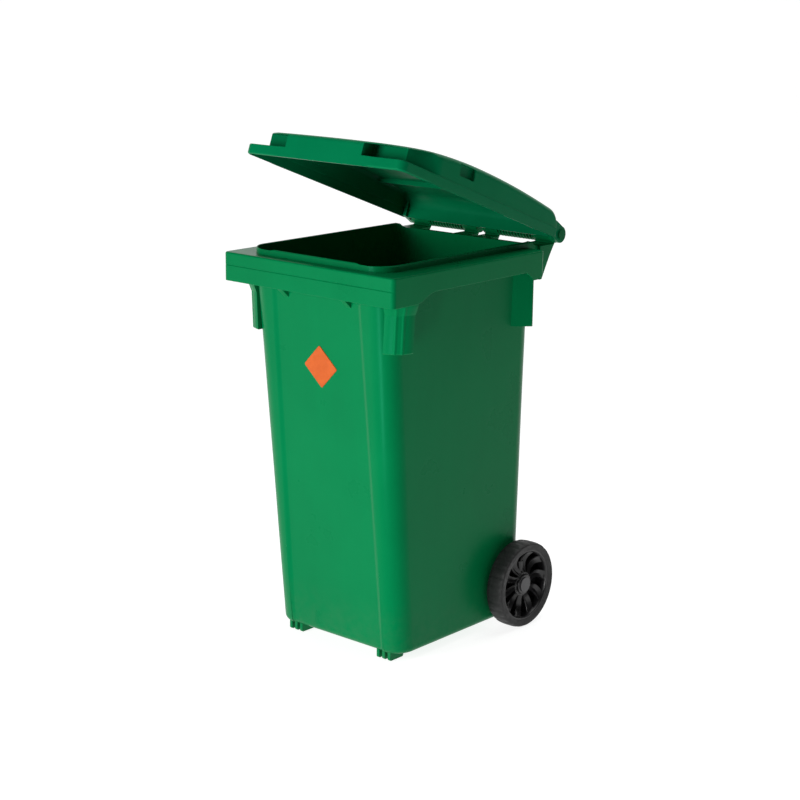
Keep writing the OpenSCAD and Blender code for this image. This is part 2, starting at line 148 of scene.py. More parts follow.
# ---- Mesh helpers ----
def mesh_object(name, points, faces):
    """A mesh object from points in millimetres, with its faces turned outwards."""
    mesh = bpy.data.meshes.new(name)
    mesh.from_pydata([tuple(np.array(p, float) * MM) for p in points], [], [list(f) for f in faces])
    bm = bmesh.new()
    bm.from_mesh(mesh)
    bmesh.ops.remove_doubles(bm, verts=bm.verts, dist=1e-7)
    bmesh.ops.recalc_face_normals(bm, faces=bm.faces)
    bm.to_mesh(mesh)
    bm.free()
    made = bpy.data.objects.new(name, mesh)
    bpy.context.scene.collection.objects.link(made)
    return made


def mesh_copy(obj):
    copy = bpy.data.objects.new(obj.name + "_copy", obj.data.copy())
    bpy.context.scene.collection.objects.link(copy)
    return copy


def loft(name, rings, closed=False):
    """A solid through rings with equal numbers of points; closed joins the last ring to the first."""
    count = len(rings[0])
    points = np.concatenate([np.asarray(r, float) for r in rings])
    faces = []
    last = len(rings) if closed else len(rings) - 1
    for i in range(last):
        a, b = i * count, (i + 1) % len(rings) * count
        for j in range(count):
            k = (j + 1) % count
            faces.append((a + j, a + k, b + k, b + j))
    if not closed:
        faces.append(range(count))
        faces.append(range(len(points) - count, len(points)))
    return mesh_object(name, points, faces)


def bevel(obj, width, segments=3):
    """Rounds every edge of a simple solid that turns by more than 30 degrees."""
    bm = bmesh.new()
    bm.from_mesh(obj.data)
    sharp = [e for e in bm.edges if len(e.link_faces) == 2 and e.calc_face_angle() > math.radians(30)]
    bmesh.ops.bevel(bm, geom=sharp, offset=width * MM, segments=segments, profile=0.5,
                    affect="EDGES", clamp_overlap=True)
    bm.to_mesh(obj.data)
    bm.free()
    return obj


def slab_x(name, outline, x0, x1, edge):
    """An outline of (y, z) points extruded along X, with rounded edges, or sharp ones at edge 0."""
    rings = [[(x, y, z) for y, z in outline] for x in (x0, x1)]
    made = loft(name, rings)
    return bevel(made, edge) if edge else made


def slab_y(name, outline, y0, y1, edge):
    """An outline of (x, z) points extruded along Y, with rounded edges."""
    rings = [[(x, y, z) for x, z in outline] for y in (y0, y1)]
    return bevel(loft(name, rings), edge)


def turned(name, profile, y, z, segments=64):
    """A closed profile of (x, radius) points turned round an axis along X at y, z.
    A profile that starts and ends at radius 0 makes a solid, any other a ring."""
    angles = np.arange(segments) * 2 * math.pi / segments
    solid = profile[0][1] == 0
    inner = profile[1:-1] if solid else profile
    rings = [[(x, y + r * math.cos(a), z + r * math.sin(a)) for a in angles] for x, r in inner]
    return loft(name, rings, closed=not solid)


def rod(name, x0, x1, d, y, z, edge):
    """A round bar along X with rounded ends."""
    r = d / 2
    start = [(x0 + edge * (1 - math.sin(a)), r - edge * (1 - math.cos(a))) for a in quarter(4)]
    end = [(x1 - edge * (1 - math.sin(a)), r - edge * (1 - math.cos(a))) for a in quarter(4)]
    return turned(name, [(x0, 0)] + start[::-1] + end + [(x1, 0)], y, z)


def quarter(steps):
    """Angles from 0 to a quarter turn."""
    return np.linspace(0, math.pi / 2, steps + 1)


def boolean(target, tool, operation):
    """Joins the tool to the target or takes it away, and removes the tool."""
    modifier = target.modifiers.new("boolean", "BOOLEAN")
    modifier.operation = operation
    modifier.solver = "MANIFOLD"
    modifier.object = tool
    bpy.context.view_layer.update()
    graph = bpy.context.evaluated_depsgraph_get()
    result = bpy.data.meshes.new_from_object(target.evaluated_get(graph))
    target.modifiers.clear()
    target.data = result
    bpy.data.objects.remove(tool)


def add(target, *tools):
    for tool in tools:
        boolean(target, tool, "UNION")
    return target


def cut(target, *tools):
    for tool in tools:
        boolean(target, tool, "DIFFERENCE")
    return target


def mirrored(obj, name=None):
    """A copy of obj mirrored across X = 0."""
    copy = mesh_copy(obj)
    copy.name = name or obj.name + "_mirror"
    bm = bmesh.new()
    bm.from_mesh(copy.data)
    for v in bm.verts:
        v.co.x = -v.co.x
    bmesh.ops.reverse_faces(bm, faces=bm.faces)
    bm.to_mesh(copy.data)
    bm.free()
    return copy


def both(tool):
    """The tool and its mirror image."""
    return tool, mirrored(tool)


def smooth(obj, angle=32):
    """Smooth shading, with edges sharper than the angle kept, and normals that keep flats flat."""
    obj.data.shade_smooth()
    obj.data.set_sharp_from_angle(angle=math.radians(angle))
    weighted = obj.modifiers.new("normals", "WEIGHTED_NORMAL")
    weighted.keep_sharp = True
    weighted.weight = 80
    return obj


def arc(cx, cy, r, start, end, steps=8):
    """Points along an arc, from one angle to another in degrees."""
    angles = np.radians(np.linspace(start, end, steps + 1))
    return [(cx + r * math.cos(a), cy + r * math.sin(a)) for a in angles]


# ---- Outlines in plan ----
def plan(hx, y0, y1, r0, r1, steps=8, run=1):
    """A rectangle with round corners, front left first; run is the number of stretches on a side."""
    corners = [arc(-hx + r0, y0 + r0, r0, 180, 270, steps), arc(hx - r0, y0 + r0, r0, 270, 360, steps),
               arc(hx - r1, y1 - r1, r1, 0, 90, steps), arc(-hx + r1, y1 - r1, r1, 90, 180, steps)]
    points = []
    for i, corner in enumerate(corners):
        points += corner
        a, b = np.array(corner[-1]), np.array(corners[(i + 1) % 4][0])
        points += [tuple(a + (b - a) * k / run) for k in range(1, run)]
    return points


def panel_half(z):
    """Half width of the front wall's sunk panel."""
    return PANEL_HALF + PANEL_SPREAD * draft(z)


def with_panel(points, y0, half):
    """Moves the front side's points into the sunk panel, with a soft step at its edges."""
    made = []
    for x, y in points:
        if abs(y - y0) < 0.01:
            into = min(max((half + PANEL_STEP - abs(x)) / PANEL_STEP, 0), 1)
            y += PANEL_SINK * into * into * (3 - 2 * into)
        made.append((x, y))
    return made


def tub_plan(z, inset):
    """The tub's outline at a height: rounded corners, and front points gathered at the panel's step."""
    hx, y0, y1 = tub_x(z) - inset, tub_front(z) + inset, tub_rear(z) - inset
    r = TUB_R - inset
    half = panel_half(z)
    steps = 14
    edge = [half + PANEL_STEP * (1 - k / 6) for k in range(7)]
    left = [-x for x in edge]
    inside = list(np.linspace(-half, half, 14)[1:-1])
    front = [(x, y0) for x in left + inside + edge[::-1]]
    side = [(hx, y) for y in np.linspace(y0 + r, y1 - r, 13)[1:-1]]
    rear = [(x, y1) for x in np.linspace(hx - r, -hx + r, 13)[1:-1]]
    outline = arc(-hx + r, y0 + r, r, 180, 270, steps) + with_panel(front, y0, half)
    outline += arc(hx - r, y0 + r, r, 270, 360, steps) + side
    outline += arc(hx - r, y1 - r, r, 0, 90, steps) + rear
    outline += arc(-hx + r, y1 - r, r, 90, 180, steps) + [(-x, y) for x, y in side[::-1]]
    return outline


def wavy(x, y, z):
    """A moulded wall's faint unevenness, in millimetres."""
    slow = math.sin(z / 118 + 0.7) * math.sin((x + y) / 74 + 1.9)
    quick = math.sin(z / 47 - 0.4 + x / 61) * math.sin((x - y) / 39 + 0.3)
    return 0.30 * slow + 0.14 * quick


def ring_at(outline, z, uneven=1.0):
    """Lifts a plan outline to a height, moved out a little where the wall is uneven."""
    ring = []
    for x, y in outline:
        out = Vector((x, y)).normalized() * wavy(x, y, z) * uneven
        ring.append((x + out[0], y + out[1], z))
    return ring


def tub_outside():
    """The tub's outer form, from its rounded foot up into the comb."""
    edge = 14
    rings = []
    for a in quarter(6):
        z = BASE_Z + edge * (1 - math.cos(a))
        rings.append(ring_at(tub_plan(z, edge * (1 - math.sin(a))), z, math.sin(a)))
    for z in np.linspace(BASE_Z + edge, COMB_TOP - 2, TUB_STEPS)[1:]:
        rings.append(ring_at(tub_plan(z, 0), z))
    return loft("tub", rings)


def tub_inside():
    """The tub's room, from its floor up through the lip, which it rounds off at the mouth."""
    edge = 12
    mouth_h, mouth_out = 3, 2.4
    uneven = 0.6
    floor = BASE_Z + FLOOR_T
    lip_top = COMB_TOP + LIP_H
    rings = []
    for a in quarter(5):
        z = floor + edge * (1 - math.cos(a))
        rings.append(ring_at(tub_plan(z, WALL + edge * (1 - math.sin(a))), z, 0))
    for z in np.linspace(floor + edge, lip_top - mouth_h, 24)[1:]:
        rings.append(ring_at(tub_plan(z, WALL), z, uneven))
    for a in quarter(4)[1:]:
        z = lip_top - mouth_h + mouth_h * math.sin(a)
        rings.append(ring_at(tub_plan(z, WALL - mouth_out * (1 - math.cos(a))), z, uneven))
    rings.append(ring_at(tub_plan(lip_top + 6, WALL - mouth_out), lip_top + 6, uneven))
    return loft("tub_inside", rings)


TUNNEL_FRONT = 45
TUNNEL_UP = 50
TUNNEL_R = 10


def tunnel(name, skin):
    """Room for the axle under the tub's rear, with a rounded inner edge."""
    y0 = AXLE_Y - TUNNEL_FRONT - skin
    z1 = AXLE_Z + TUNNEL_UP + skin
    r = TUNNEL_R + skin
    behind, below = COMB_REAR + 200, -20
    outline = [(behind, below), (y0, below)] + arc(y0 + r, z1 - r, r, 180, 90, 6) + [(behind, z1)]
    return slab_x(name, outline, -COMB_X - 5, COMB_X + 5, 0)


def band_height(y):
    """Height of the comb's skirt: full at the corner blocks, lower between them."""
    rise = COMB_BAND - SIDE_BAND
    front = (y - (COMB_FRONT + FRONT_BLOCK)) / (3 * rise)
    rear = ((COMB_REAR - REAR_BLOCK) - y) / rise
    t = min(max(min(front, rear), 0), 1)
    corner = max(REAR_CORNER_R - (COMB_REAR - y), 0)
    rounded = REAR_CORNER_R - math.sqrt(REAR_CORNER_R ** 2 - corner ** 2)
    return COMB_BAND - rise * t * t * (3 - 2 * t) - rounded


def comb_section(y):
    """The comb's section at y, as (inwards, z): top edge, fine line on the front, skirt and inner fillet."""
    reach = 8.5
    top_r, fillet_r = 4, 3
    foot_out, foot_up = 0.9, 1.2
    line = COMB_TOP - BAND_LINE
    low = COMB_TOP - band_height(y)
    section = [(reach, COMB_TOP)]
    section += [(top_r * (1 - math.sin(a)), COMB_TOP - top_r * (1 - math.cos(a))) for a in quarter(5)]
    deep = 1.2 * min(max(1 - (y - COMB_FRONT) / 5, 0), 1)
    section += [(0, line + 1.2), (0.8 * deep, line + 0.6), (deep, line), (0.8 * deep, line - 0.7),
                (0, line - 1.6), (0, line - 2.6)]
    section += [(foot_out - foot_out * math.cos(a), low + foot_up - foot_up * math.sin(a))
                for a in quarter(3)]
    section += [(COMB_T - 1.2, low), (COMB_T - 0.3, low + 0.4), (COMB_T, low + foot_up)]
    section += [(COMB_T + fillet_r * (1 - math.cos(a)),
                 COMB_TOP - COMB_T - fillet_r + fillet_r * math.sin(a)) for a in quarter(4)]
    return section + [(reach, COMB_TOP - COMB_T)]


def comb_rim():
    """The comb: a skirt, its section swept round the rim's outline, and the plate inside it."""
    corner_r, inset, plate_r = 10, 6, 4
    sweep = plan(COMB_X, COMB_FRONT, COMB_REAR, corner_r, corner_r, steps=10, run=36)
    rings = []
    for (x, y), (nx, ny) in zip(sweep, outline_normals(sweep)):
        rings.append([(x - nx * o, y - ny * o, z) for o, z in comb_section(y)])
    skirt = loft("comb", rings, closed=True)
    outline = plan(COMB_X - inset, COMB_FRONT + inset, COMB_REAR - inset, plate_r, plate_r)
    plate = loft("plate", [[(x, y, z) for x, y in outline] for z in (COMB_TOP - COMB_T, COMB_TOP)])
    return add(skirt, plate)


def outline_normals(points):
    """Outward directions along a closed plan outline that runs anticlockwise."""
    p = np.array(points)
    along = np.roll(p, -1, axis=0) - np.roll(p, 1, axis=0)
    normals = np.stack([along[:, 1], -along[:, 0]], axis=1)
    return normals / np.linalg.norm(normals, axis=1)[:, None]


def lip():
    """The raised lip inside the comb, rounded at its top, that ends at the comb's rear corners."""
    top = COMB_TOP + LIP_H
    r = 3.5
    levels = [(COMB_TOP - COMB_T, 0), (COMB_TOP, 0)]
    levels += [(top - r + r * math.sin(a), r * (1 - math.cos(a))) for a in quarter(5)]
    rings = []
    for z, inset in levels:
        outline = plan(LIP_X - inset, LIP_FRONT + inset, LIP_REAR - inset, LIP_R - inset,
                       LIP_REAR_R - inset, 14)
        rings.append([(x, y, z) for x, y in outline])
    made = loft("lip", rings)
    end = COMB_REAR + 5
    slope = [(end, top), (end + 5, top - 1.5), (end + 11, RIM_TOP + 4), (end + 17, RIM_TOP + 0.8),
             (end + 24, RIM_TOP)]
    above = [(LIP_REAR + BEYOND, RIM_TOP), (LIP_REAR + BEYOND, top + BEYOND), (end, top + BEYOND)]
    return cut(made, slab_x("lip_end", slope + above, -COMB_X, COMB_X, 0))


def rear_rim():
    """The rim along the rear wall, as high as the comb's side band."""
    rings = []
    low, high = COMB_TOP - SIDE_BAND, RIM_TOP
    for z, inset in ((low, 2), (low + 2, 0), (high - 2, 0), (high - 0.6, 0.6), (high, 2)):
        outline = plan(LIP_X - inset, COMB_REAR - TUB_R, LIP_REAR - inset, LIP_REAR_R, LIP_REAR_R)
        rings.append([(x, y, z) for x, y in outline])
    return loft("rear_rim", rings)


def ridge_height(angle, at):
    """Height of a fine ridge round the front rib, at an angle in degrees."""
    if abs(angle - at) < RIDGE_SPAN:
        return RIDGE_H * math.cos((angle - at) / RIDGE_SPAN * math.pi / 2)
    return 0


def fairing_plan(r, shift, root):
    """Plan of a front rib: a round face that follows the comb's corner, with two fine ridges on it."""
    cx, cy = RIB_REACH - RIB_R - shift, COMB_FRONT + FRONT_BLOCK + 15
    points = []
    for a in np.linspace(8, 90, 42):
        reach = r + max(ridge_height(a, at) for at in RIDGES)
        points.append((cx + reach * math.sin(math.radians(a)), cy - reach * math.cos(math.radians(a))))
    return points + [(root, cy)]


def corner_ribs():
    """The ribs under the comb's corners: round at the front, where they flare into the comb, and
    slanted at the rear."""
    flare_h, flare = 26, 9
    low = COMB_TOP - COMB_BAND
    foot = low - RIB_DROP
    root = tub_x(foot) - 12
    levels = [(foot, -1.5, 5), (foot + 2, 0, 5), (low - flare_h, 0, 1)]
    levels += [(low - flare_h * math.cos(a), flare * (1 - math.cos(a)), 1 - math.sin(a))
               for a in quarter(5)[1:]]
    levels += [(low + 30, flare, 0)]
    front = loft("rib_front", [[(x, y, z) for x, y in fairing_plan(RIB_R + more, shift, root)]
                               for z, more, shift in levels])
    y = COMB_REAR - REAR_BLOCK + 7
    thick = 21
    plan_rear = [(root, y - 30), (RIB_REACH - 6, y + 6), (RIB_REACH, y + 12), (RIB_REACH, y + 16),
                 (RIB_REACH - 6, y + thick), (root, y + thick)]
    rear = loft("rib_rear", [[(x, v, z) for x, v in plan_rear] for z in (foot, low + 40)])
    return [*both(front), *both(rear)]


def gussets():
    """The two triangles behind the comb's front."""
    x0, x1 = 83, 98
    drop, nose = 22, 19
    low = COMB_TOP - COMB_BAND
    high = COMB_TOP - COMB_T / 2
    front = tub_front(low) - nose
    root = tub_front(low) + WALL
    outline = [(front, high), (front, low + 0.5), (tub_front(low - drop) + PANEL_SINK, low - drop),
               (root, low), (root, high)]
    return both(slab_x("gusset", outline, x0, x1, 0.8))


def feet():
    """Three short ribs at each front corner, which the bin stands on."""
    made = []
    length, half, pitch, corner = 45, 4, 16, 3
    y0 = tub_front(BASE_Z) + 8
    y1 = y0 + length
    root = BASE_Z + 3
    middle = tub_x(BASE_Z) - 52.5
    for offset in (-pitch, 0, pitch):
        outline = [(y0 + corner, 0), (y1 - corner, 0), (y1, corner), (y1, root), (y0, root), (y0, corner)]
        x = middle + offset
        made += both(slab_x("foot", outline, x - half, x + half, 0.8))
    return made


# ---- Hinge barrels, hand grips and their brackets ----
BARREL_D = 40
GRIP_D = 32
MIDDLE = (9, 52)
OUTER = (154, 208)
CHEEK_T = 12
PIN_BORE = 14
PIN_BORE_L = 40
AXLE_BORE = 20


def grip_profile():
    """Profile of the hand grip with its finger ribs."""
    pitch, width = 8.5, 4
    core, crest = GRIP_D / 2, BARREL_D / 2
    profile = [(MIDDLE[1] - 2, core)]
    x = MIDDLE[1] + pitch / 2
    while x < OUTER[0] - width:
        profile += [(x - 0.9, core), (x - 0.3, core + 0.6), (x, crest - 1), (x + 0.8, crest)]
        end = x + width
        profile += [(end - 0.8, crest), (end, crest - 1), (end + 0.3, core + 0.6), (end + 0.9, core)]
        x += pitch
    profile += [(OUTER[0] + 2, core)]
    return [(profile[0][0], 0)] + profile + [(profile[-1][0], 0)]


def bracket(x0):
    """A cheek under a hinge barrel's end; its rear edge stays clear of the lid at full opening."""
    rear = tub_rear(TUB_TOP) - 2
    foot = COMB_TOP - 75
    outline = [(rear, RIM_TOP), (HINGE_Y - 10, RIM_TOP), (HINGE_Y, HINGE_Z - 10)]
    outline += [(HINGE_Y - 5, HINGE_Z - 19), (HINGE_Y - 14, HINGE_Z - 32), (HINGE_Y - 23, HINGE_Z - 46),
                (HINGE_Y - 36, HINGE_Z - 69), (LIP_REAR, foot), (rear, foot)]
    return slab_x("bracket", outline, x0, x0 + CHEEK_T, 1.5)


def web(x0, x1):
    """The wall that joins a hinge barrel to the rear rim."""
    rear = tub_rear(TUB_TOP) - 2
    low = RIM_TOP - 7
    outline = [(rear, RIM_TOP), (HINGE_Y - 10, RIM_TOP), (HINGE_Y, HINGE_Z - 12),
               (HINGE_Y - 4, HINGE_Z - 18), (HINGE_Y - 22, low), (rear, low)]
    return slab_x("web", outline, x0 + 2, x1 - 2, 0.8)


def handles():
    """Hinge barrels, hand grips, cheeks and webs of both sides."""
    pieces = [rod("barrel", *ends, BARREL_D, HINGE_Y, HINGE_Z, 1.5) for ends in (MIDDLE, OUTER)]
    pieces += [turned("grip", grip_profile(), HINGE_Y, HINGE_Z)]
    pieces += [bracket(x) for x0, x1 in (MIDDLE, OUTER) for x in (x0, x1 - CHEEK_T)]
    pieces += [web(*MIDDLE), web(*OUTER)]
    return [p for piece in pieces for p in both(piece)]


def axle_lugs():
    """The plates under the tub that carry the axle."""
    made = []
    thick, nose, slant = 12, 20, 12
    top = AXLE_Z + TUNNEL_UP + 2
    y0 = AXLE_Y - TUNNEL_FRONT - 2
    for x in (70, tub_x(AXLE_Z) - 15):
        outline = [(y0, top), (y0, AXLE_Z - nose)] + arc(AXLE_Y, AXLE_Z, nose, 270, 360, 10)
        outline += [(AXLE_Y + nose + slant, top)]
        made += both(slab_x("axle_lug", outline, x, x + thick, 1))
    return made


def chip_nest():
    """The round nest for an identification chip, under the right side of the comb."""
    x, y = COMB_X - 24, COMB_FRONT + 160
    outer_r, inner_r, drop = 18, 15, 20
    top = COMB_TOP - COMB_T
    low = top - drop
    angles = np.arange(48) * 2 * math.pi / 48
    profile = [(top + 2, outer_r), (low + 1, outer_r), (low, outer_r - 1), (low, inner_r + 0.6),
               (low + 0.8, inner_r), (top, inner_r), (top + 1, inner_r)]
    rings = [[(x + r * math.cos(a), y + r * math.sin(a), z) for a in angles] for z, r in profile]
    return loft("chip_nest", rings, closed=True)


def tub():
    """The whole tub: comb, lip, rims, ribs, feet, hinge barrels and axle lugs in one moulding."""
    made = add(tub_outside(), comb_rim(), lip(), rear_rim())
    hollow = cut(tub_inside(), tunnel("tunnel_skin", WALL))
    cut(made, tunnel("tunnel", 0))
    inner = mesh_copy(hollow)
    cut(made, hollow)
    ribs = corner_ribs() + list(gussets()) + [chip_nest()]
    outside = add(*ribs)
    cut(outside, inner)
    add(made, outside, *feet(), *handles(), *axle_lugs())
    bore = rod("pin_bore", OUTER[1] - PIN_BORE_L, OUTER[1] + 6, PIN_BORE, HINGE_Y, HINGE_Z, BORE_EDGE)
    axle_bore = rod("axle_bore", -COMB_X, COMB_X, AXLE_BORE, AXLE_Y, AXLE_Z, BORE_EDGE)
    cut(made, *both(bore), axle_bore)
    made.name = "tub_shell"
    return smooth(made)


# ---- Lid, drawn closed with the hinge axis as origin: s runs forward, h up from the rim plane ----
LID_X = 224.5
LID_LEN = 589
LID_T = 4
LID_LEAN = 2.5
LID_DROP = 12.5
LID_REAR_S = 24
LID_REAR_H = 60
LID_REAR_R = 34
LID_CROWN_S = 320
LID_CROWN_H = 74
LID_FRONT_H = 52
LID_BAND = 22
BAND_R = 18
BAND_EDGE = 4
TOP_R = 105
GRIP_W = 116.5
GRIP_DEPTH = 40
GRIP_OUTER_DEPTH = 112
GRIP_BEND = 30
GRIP_SKIN = 3
POCKET_S = 378
POCKET_L = 52
POCKET_DEPTH = 12
POCKET_LOW = 40
POCKET_HIGH = 66


def lid_crown(s):
    """Height of the lid's top along its middle."""
    if s > LID_CROWN_S:
        share = (s - LID_CROWN_S) / (LID_LEN - LID_CROWN_S)
        return LID_CROWN_H - (LID_CROWN_H - LID_FRONT_H) * share ** 2
    share = (LID_CROWN_S - s) / (LID_CROWN_S - LID_REAR_S - LID_REAR_R)
    return LID_CROWN_H - (LID_CROWN_H - LID_REAR_H) * min(share, 1) ** 2


def shoulder(half, height, r, foot):
    """Section across the lid: side walls leaning in a little, round shoulders and a faintly domed top."""
    dome = 1.2
    flat = half - LID_LEAN - r
    right = [(half, foot), (half, foot + 2)]
    right += [(flat + r * math.cos(a), height - r + r * math.sin(a)) for a in quarter(7)]
    across = [(flat * t, height + dome * (1 - t * t)) for t in np.linspace(1, -1, 15)[1:-1]]
    return right + across + [(-x, h) for x, h in right[::-1]]


def round_off(r, away):
    """How much a corner of radius r takes off at a distance from its end."""
    if away < r:
        return r - math.sqrt(max(r ** 2 - (r - away) ** 2, 0))
    return 0


def lid_stations(front, rear, r_front):
    """Places along the lid's length, gathered where its outline bends."""
    stations = [rear + LID_REAR_R * (1 - math.cos(a)) for a in quarter(8)]
    stations += list(np.linspace(rear + LID_REAR_R, front - TOP_R, 22)[1:])
    stations += [front - TOP_R + (TOP_R - r_front) * t for t in np.linspace(0, 1, 7)[1:]]
    return stations + [front - r_front + r_front * math.sin(a) for a in quarter(6)[1:]]


def lid_dome(name, inset, foot):
    """The lid's dome, or its inside when inset by the wall."""
    front, rear = LID_LEN - inset, LID_REAR_S + inset
    r_front, r_side = 9 - inset / 2, 14 - inset / 2
    rings = []
    for s in lid_stations(front, rear, r_front):
        height = lid_crown(s) - inset
        if s - rear < LID_REAR_R:
            height = LID_REAR_H - inset - round_off(LID_REAR_R, s - rear)
        height -= round_off(r_front, front - s)
        half = LID_X - inset - round_off(TOP_R - inset, front - s)
        r = min(r_side, height - foot - 4)
        rings.append([(x, -s, h) for x, h in shoulder(half, height, r, foot)])
    return loft(name, rings)


def lid_band(name, inset, foot):
    """The band round the lid's lower edge, with its smaller corner radius; its outside has a round foot."""
    levels = [(foot, 0)]
    if inset == 0:
        levels = [(foot + BAND_EDGE * (1 - math.cos(a)), BAND_EDGE * (1 - math.sin(a))) for a in quarter(4)]
    levels += [(LID_BAND - 1.5, 0), (LID_BAND - 0.4, 0.5), (LID_BAND, 1.6)]
    rings = []
    for h, more in levels:
        i = inset + more
        outline = plan(LID_X - i, -LID_LEN + i, -LID_REAR_S - i, BAND_R - i / 2, 4, 8)
        rings.append([(x, y, h) for x, y in outline])
    return loft(name, rings)


def grip_recess(skin):
    """Space of a hand grip at the lid's front corner; with a skin it runs up through the roof."""
    inner = LID_X - GRIP_W - skin
    back = -LID_LEN + GRIP_DEPTH + skin
    outer = -LID_LEN + GRIP_OUTER_DEPTH + skin
    r = 6 + skin
    side, ahead = LID_X + BEYOND, -LID_LEN - BEYOND
    outline = [(side, ahead), (side, outer + 6), (LID_X, outer), (LID_X - GRIP_BEND, back)]
    outline += arc(inner + r, back - r, r, 90, 180, 5) + [(inner, ahead)]
    floor = [(x, y, LID_BAND - skin) for x, y in outline]
    roof = [(x, y, LID_CROWN_H + 5 if skin else lid_crown(-y) - GRIP_SKIN) for x, y in outline]
    return loft("grip_recess", [floor, roof])


def pocket_recess(skin):
    """Space of the pocket in the lid's side."""
    half = POCKET_L / 2 + skin
    low, high = POCKET_LOW - skin, POCKET_HIGH + skin
    edge = 0 if skin else 2
    outline = [(y - POCKET_S, h) for y, h in ((-half, low), (half, low), (half, high), (-half, high))]
    return slab_x("pocket", outline, LID_X - POCKET_DEPTH - skin, LID_X + BEYOND, edge)


def ear():
    """Hinge ear inside the lid's side, round the hinge pin."""
    thick, rise = 11, 26
    x1 = LID_X - LID_T - 0.5
    x0 = x1 - thick
    r = BARREL_D / 2 - 1
    front = -LID_REAR_S - 12
    outline = arc(0, LID_DROP, r, 90, -90, 14)
    outline += [(-LID_REAR_S, 0), (front, 2), (front, rise + LID_DROP),
                (-LID_REAR_S - LID_T / 2, rise + LID_DROP)]
    made = slab_x("ear", outline, x0, x1, 1)
    return cut(made, rod("ear_bore", x0 - 5, x1 + 5, PIN_BORE + 0.1, 0, LID_DROP, BORE_EDGE))


def inner_ribs():
    """Stiffening ribs under the lid's roof."""
    made = []
    half_t, depth = 1.6, 12
    wide, narrow = LID_X - 6, LID_X - 16
    for s in (150, 430):
        top = lid_crown(s) - 2
        outline = [(-wide, top - depth), (wide, top - depth), (wide, top - 8), (narrow, top),
                   (-narrow, top), (-wide, top - 8)]
        made.append(slab_y("rib", outline, -s - half_t, -s + half_t, 0.5))
    return made


def tilt_lid(obj):
    """Turns the closed lid to its rest angle and puts it on the hinge axis."""
    angle = -math.radians(LID_REST)
    c, s = math.cos(angle), math.sin(angle)
    for v in obj.data.vertices:
        x, y, h = v.co / MM
        h -= LID_DROP
        v.co = Vector((x, HINGE_Y + y * c - h * s, HINGE_Z + y * s + h * c)) * MM
    return obj


def lid():
    """The whole lid: a hollow dome on its band, with grips, pockets, ribs and hinge ears."""
    below = -6
    made = add(lid_dome("lid_outside", 0, 0), lid_band("band", 0, 0))
    hollow = add(lid_dome("lid_inside", LID_T, below), lid_band("band_inside", LID_T, below))
    cut(hollow, *both(grip_recess(LID_T)), *both(pocket_recess(LID_T)))
    cut(made, hollow)
    add(made, *inner_ribs(), *both(ear()))
    cut(made, *both(grip_recess(0)), *both(pocket_recess(0)))
    made.name = "lid_shell"
    return smooth(tilt_lid(made))


# ---- Wheels ----
WHEEL_LO, WHEEL_HI = node_box("tyre_right")
WHEEL_R = (WHEEL_HI[2] - WHEEL_LO[2]) / 2
WHEEL_IN, WHEEL_OUT = WHEEL_LO[0], WHEEL_HI[0]
RIM_R = 82
RIM_T = 6
SPOKES = 10
HUB_R = 23
CAP_SEAT = 28
TOWER_D = 16
LOCK_BORE = 8.1


def tyre():
    """Solid tyre with shallow notches across its tread and round shoulders."""
    segments = 180
    side = 2.4
    shoulder_h = 7
    notch_depth = 1.3
    rings = []
    middle = (WHEEL_IN + WHEEL_OUT) / 2
    half = (WHEEL_OUT - WHEEL_IN) / 2
    section = []
    for a in np.linspace(-90, 90, 19):
        c, s = math.cos(math.radians(a)), math.sin(math.radians(a))
        x = half * math.copysign(abs(s) ** 0.55, s)
        r = WHEEL_R - shoulder_h + shoulder_h * abs(c) ** 0.6
        section.append((x, r, abs(s) < 0.9))
    for i in range(segments):
        a = 2 * math.pi * i / segments
        notch = notch_depth if i % 6 in (0, 1) else 0
        ring = [(-half + side, RIM_R)]
        for x, r, tread in section:
            ring.append((x, r - (notch if tread and abs(x) > 4 else 0)))
        ring.append((half - side, RIM_R))
        rings.append([(middle + x, AXLE_Y + r * math.cos(a), AXLE_Z + r * math.sin(a)) for x, r in ring])
    return loft("tyre", rings, closed=True)


def spoke(index):
    """A blade that widens and swings out from the hub, dished and grooved along its face."""
    turn = 2 * math.pi * index / SPOKES
    swing, dish, groove, sink = 0.20, 9, 5, 3
    rings = []
    for t in np.linspace(0, 1, 9):
        bow = math.sin(math.pi * t)
        r = HUB_R - sink + (RIM_R - RIM_T + sink - HUB_R + sink) * t
        swirl = swing * bow + turn
        half = 6 + 6.5 * t
        face = WHEEL_OUT - 10 - dish * bow + 2 * t
        back = WHEEL_IN + 9 + 3 * bow
        section = [(back, -half * 0.8), (back, half * 0.8), (face - 2, half), (face, half - 1.6),
                   (face - groove * bow - 1, 0), (face, -half + 1.6), (face - 2, -half)]
        ring = []
        for x, w in section:
            c, s = math.cos(swirl), math.sin(swirl)
            ring.append((x, AXLE_Y + r * c - w * s, AXLE_Z + r * s + w * c))
        rings.append(ring)
    return loft("spoke", rings)


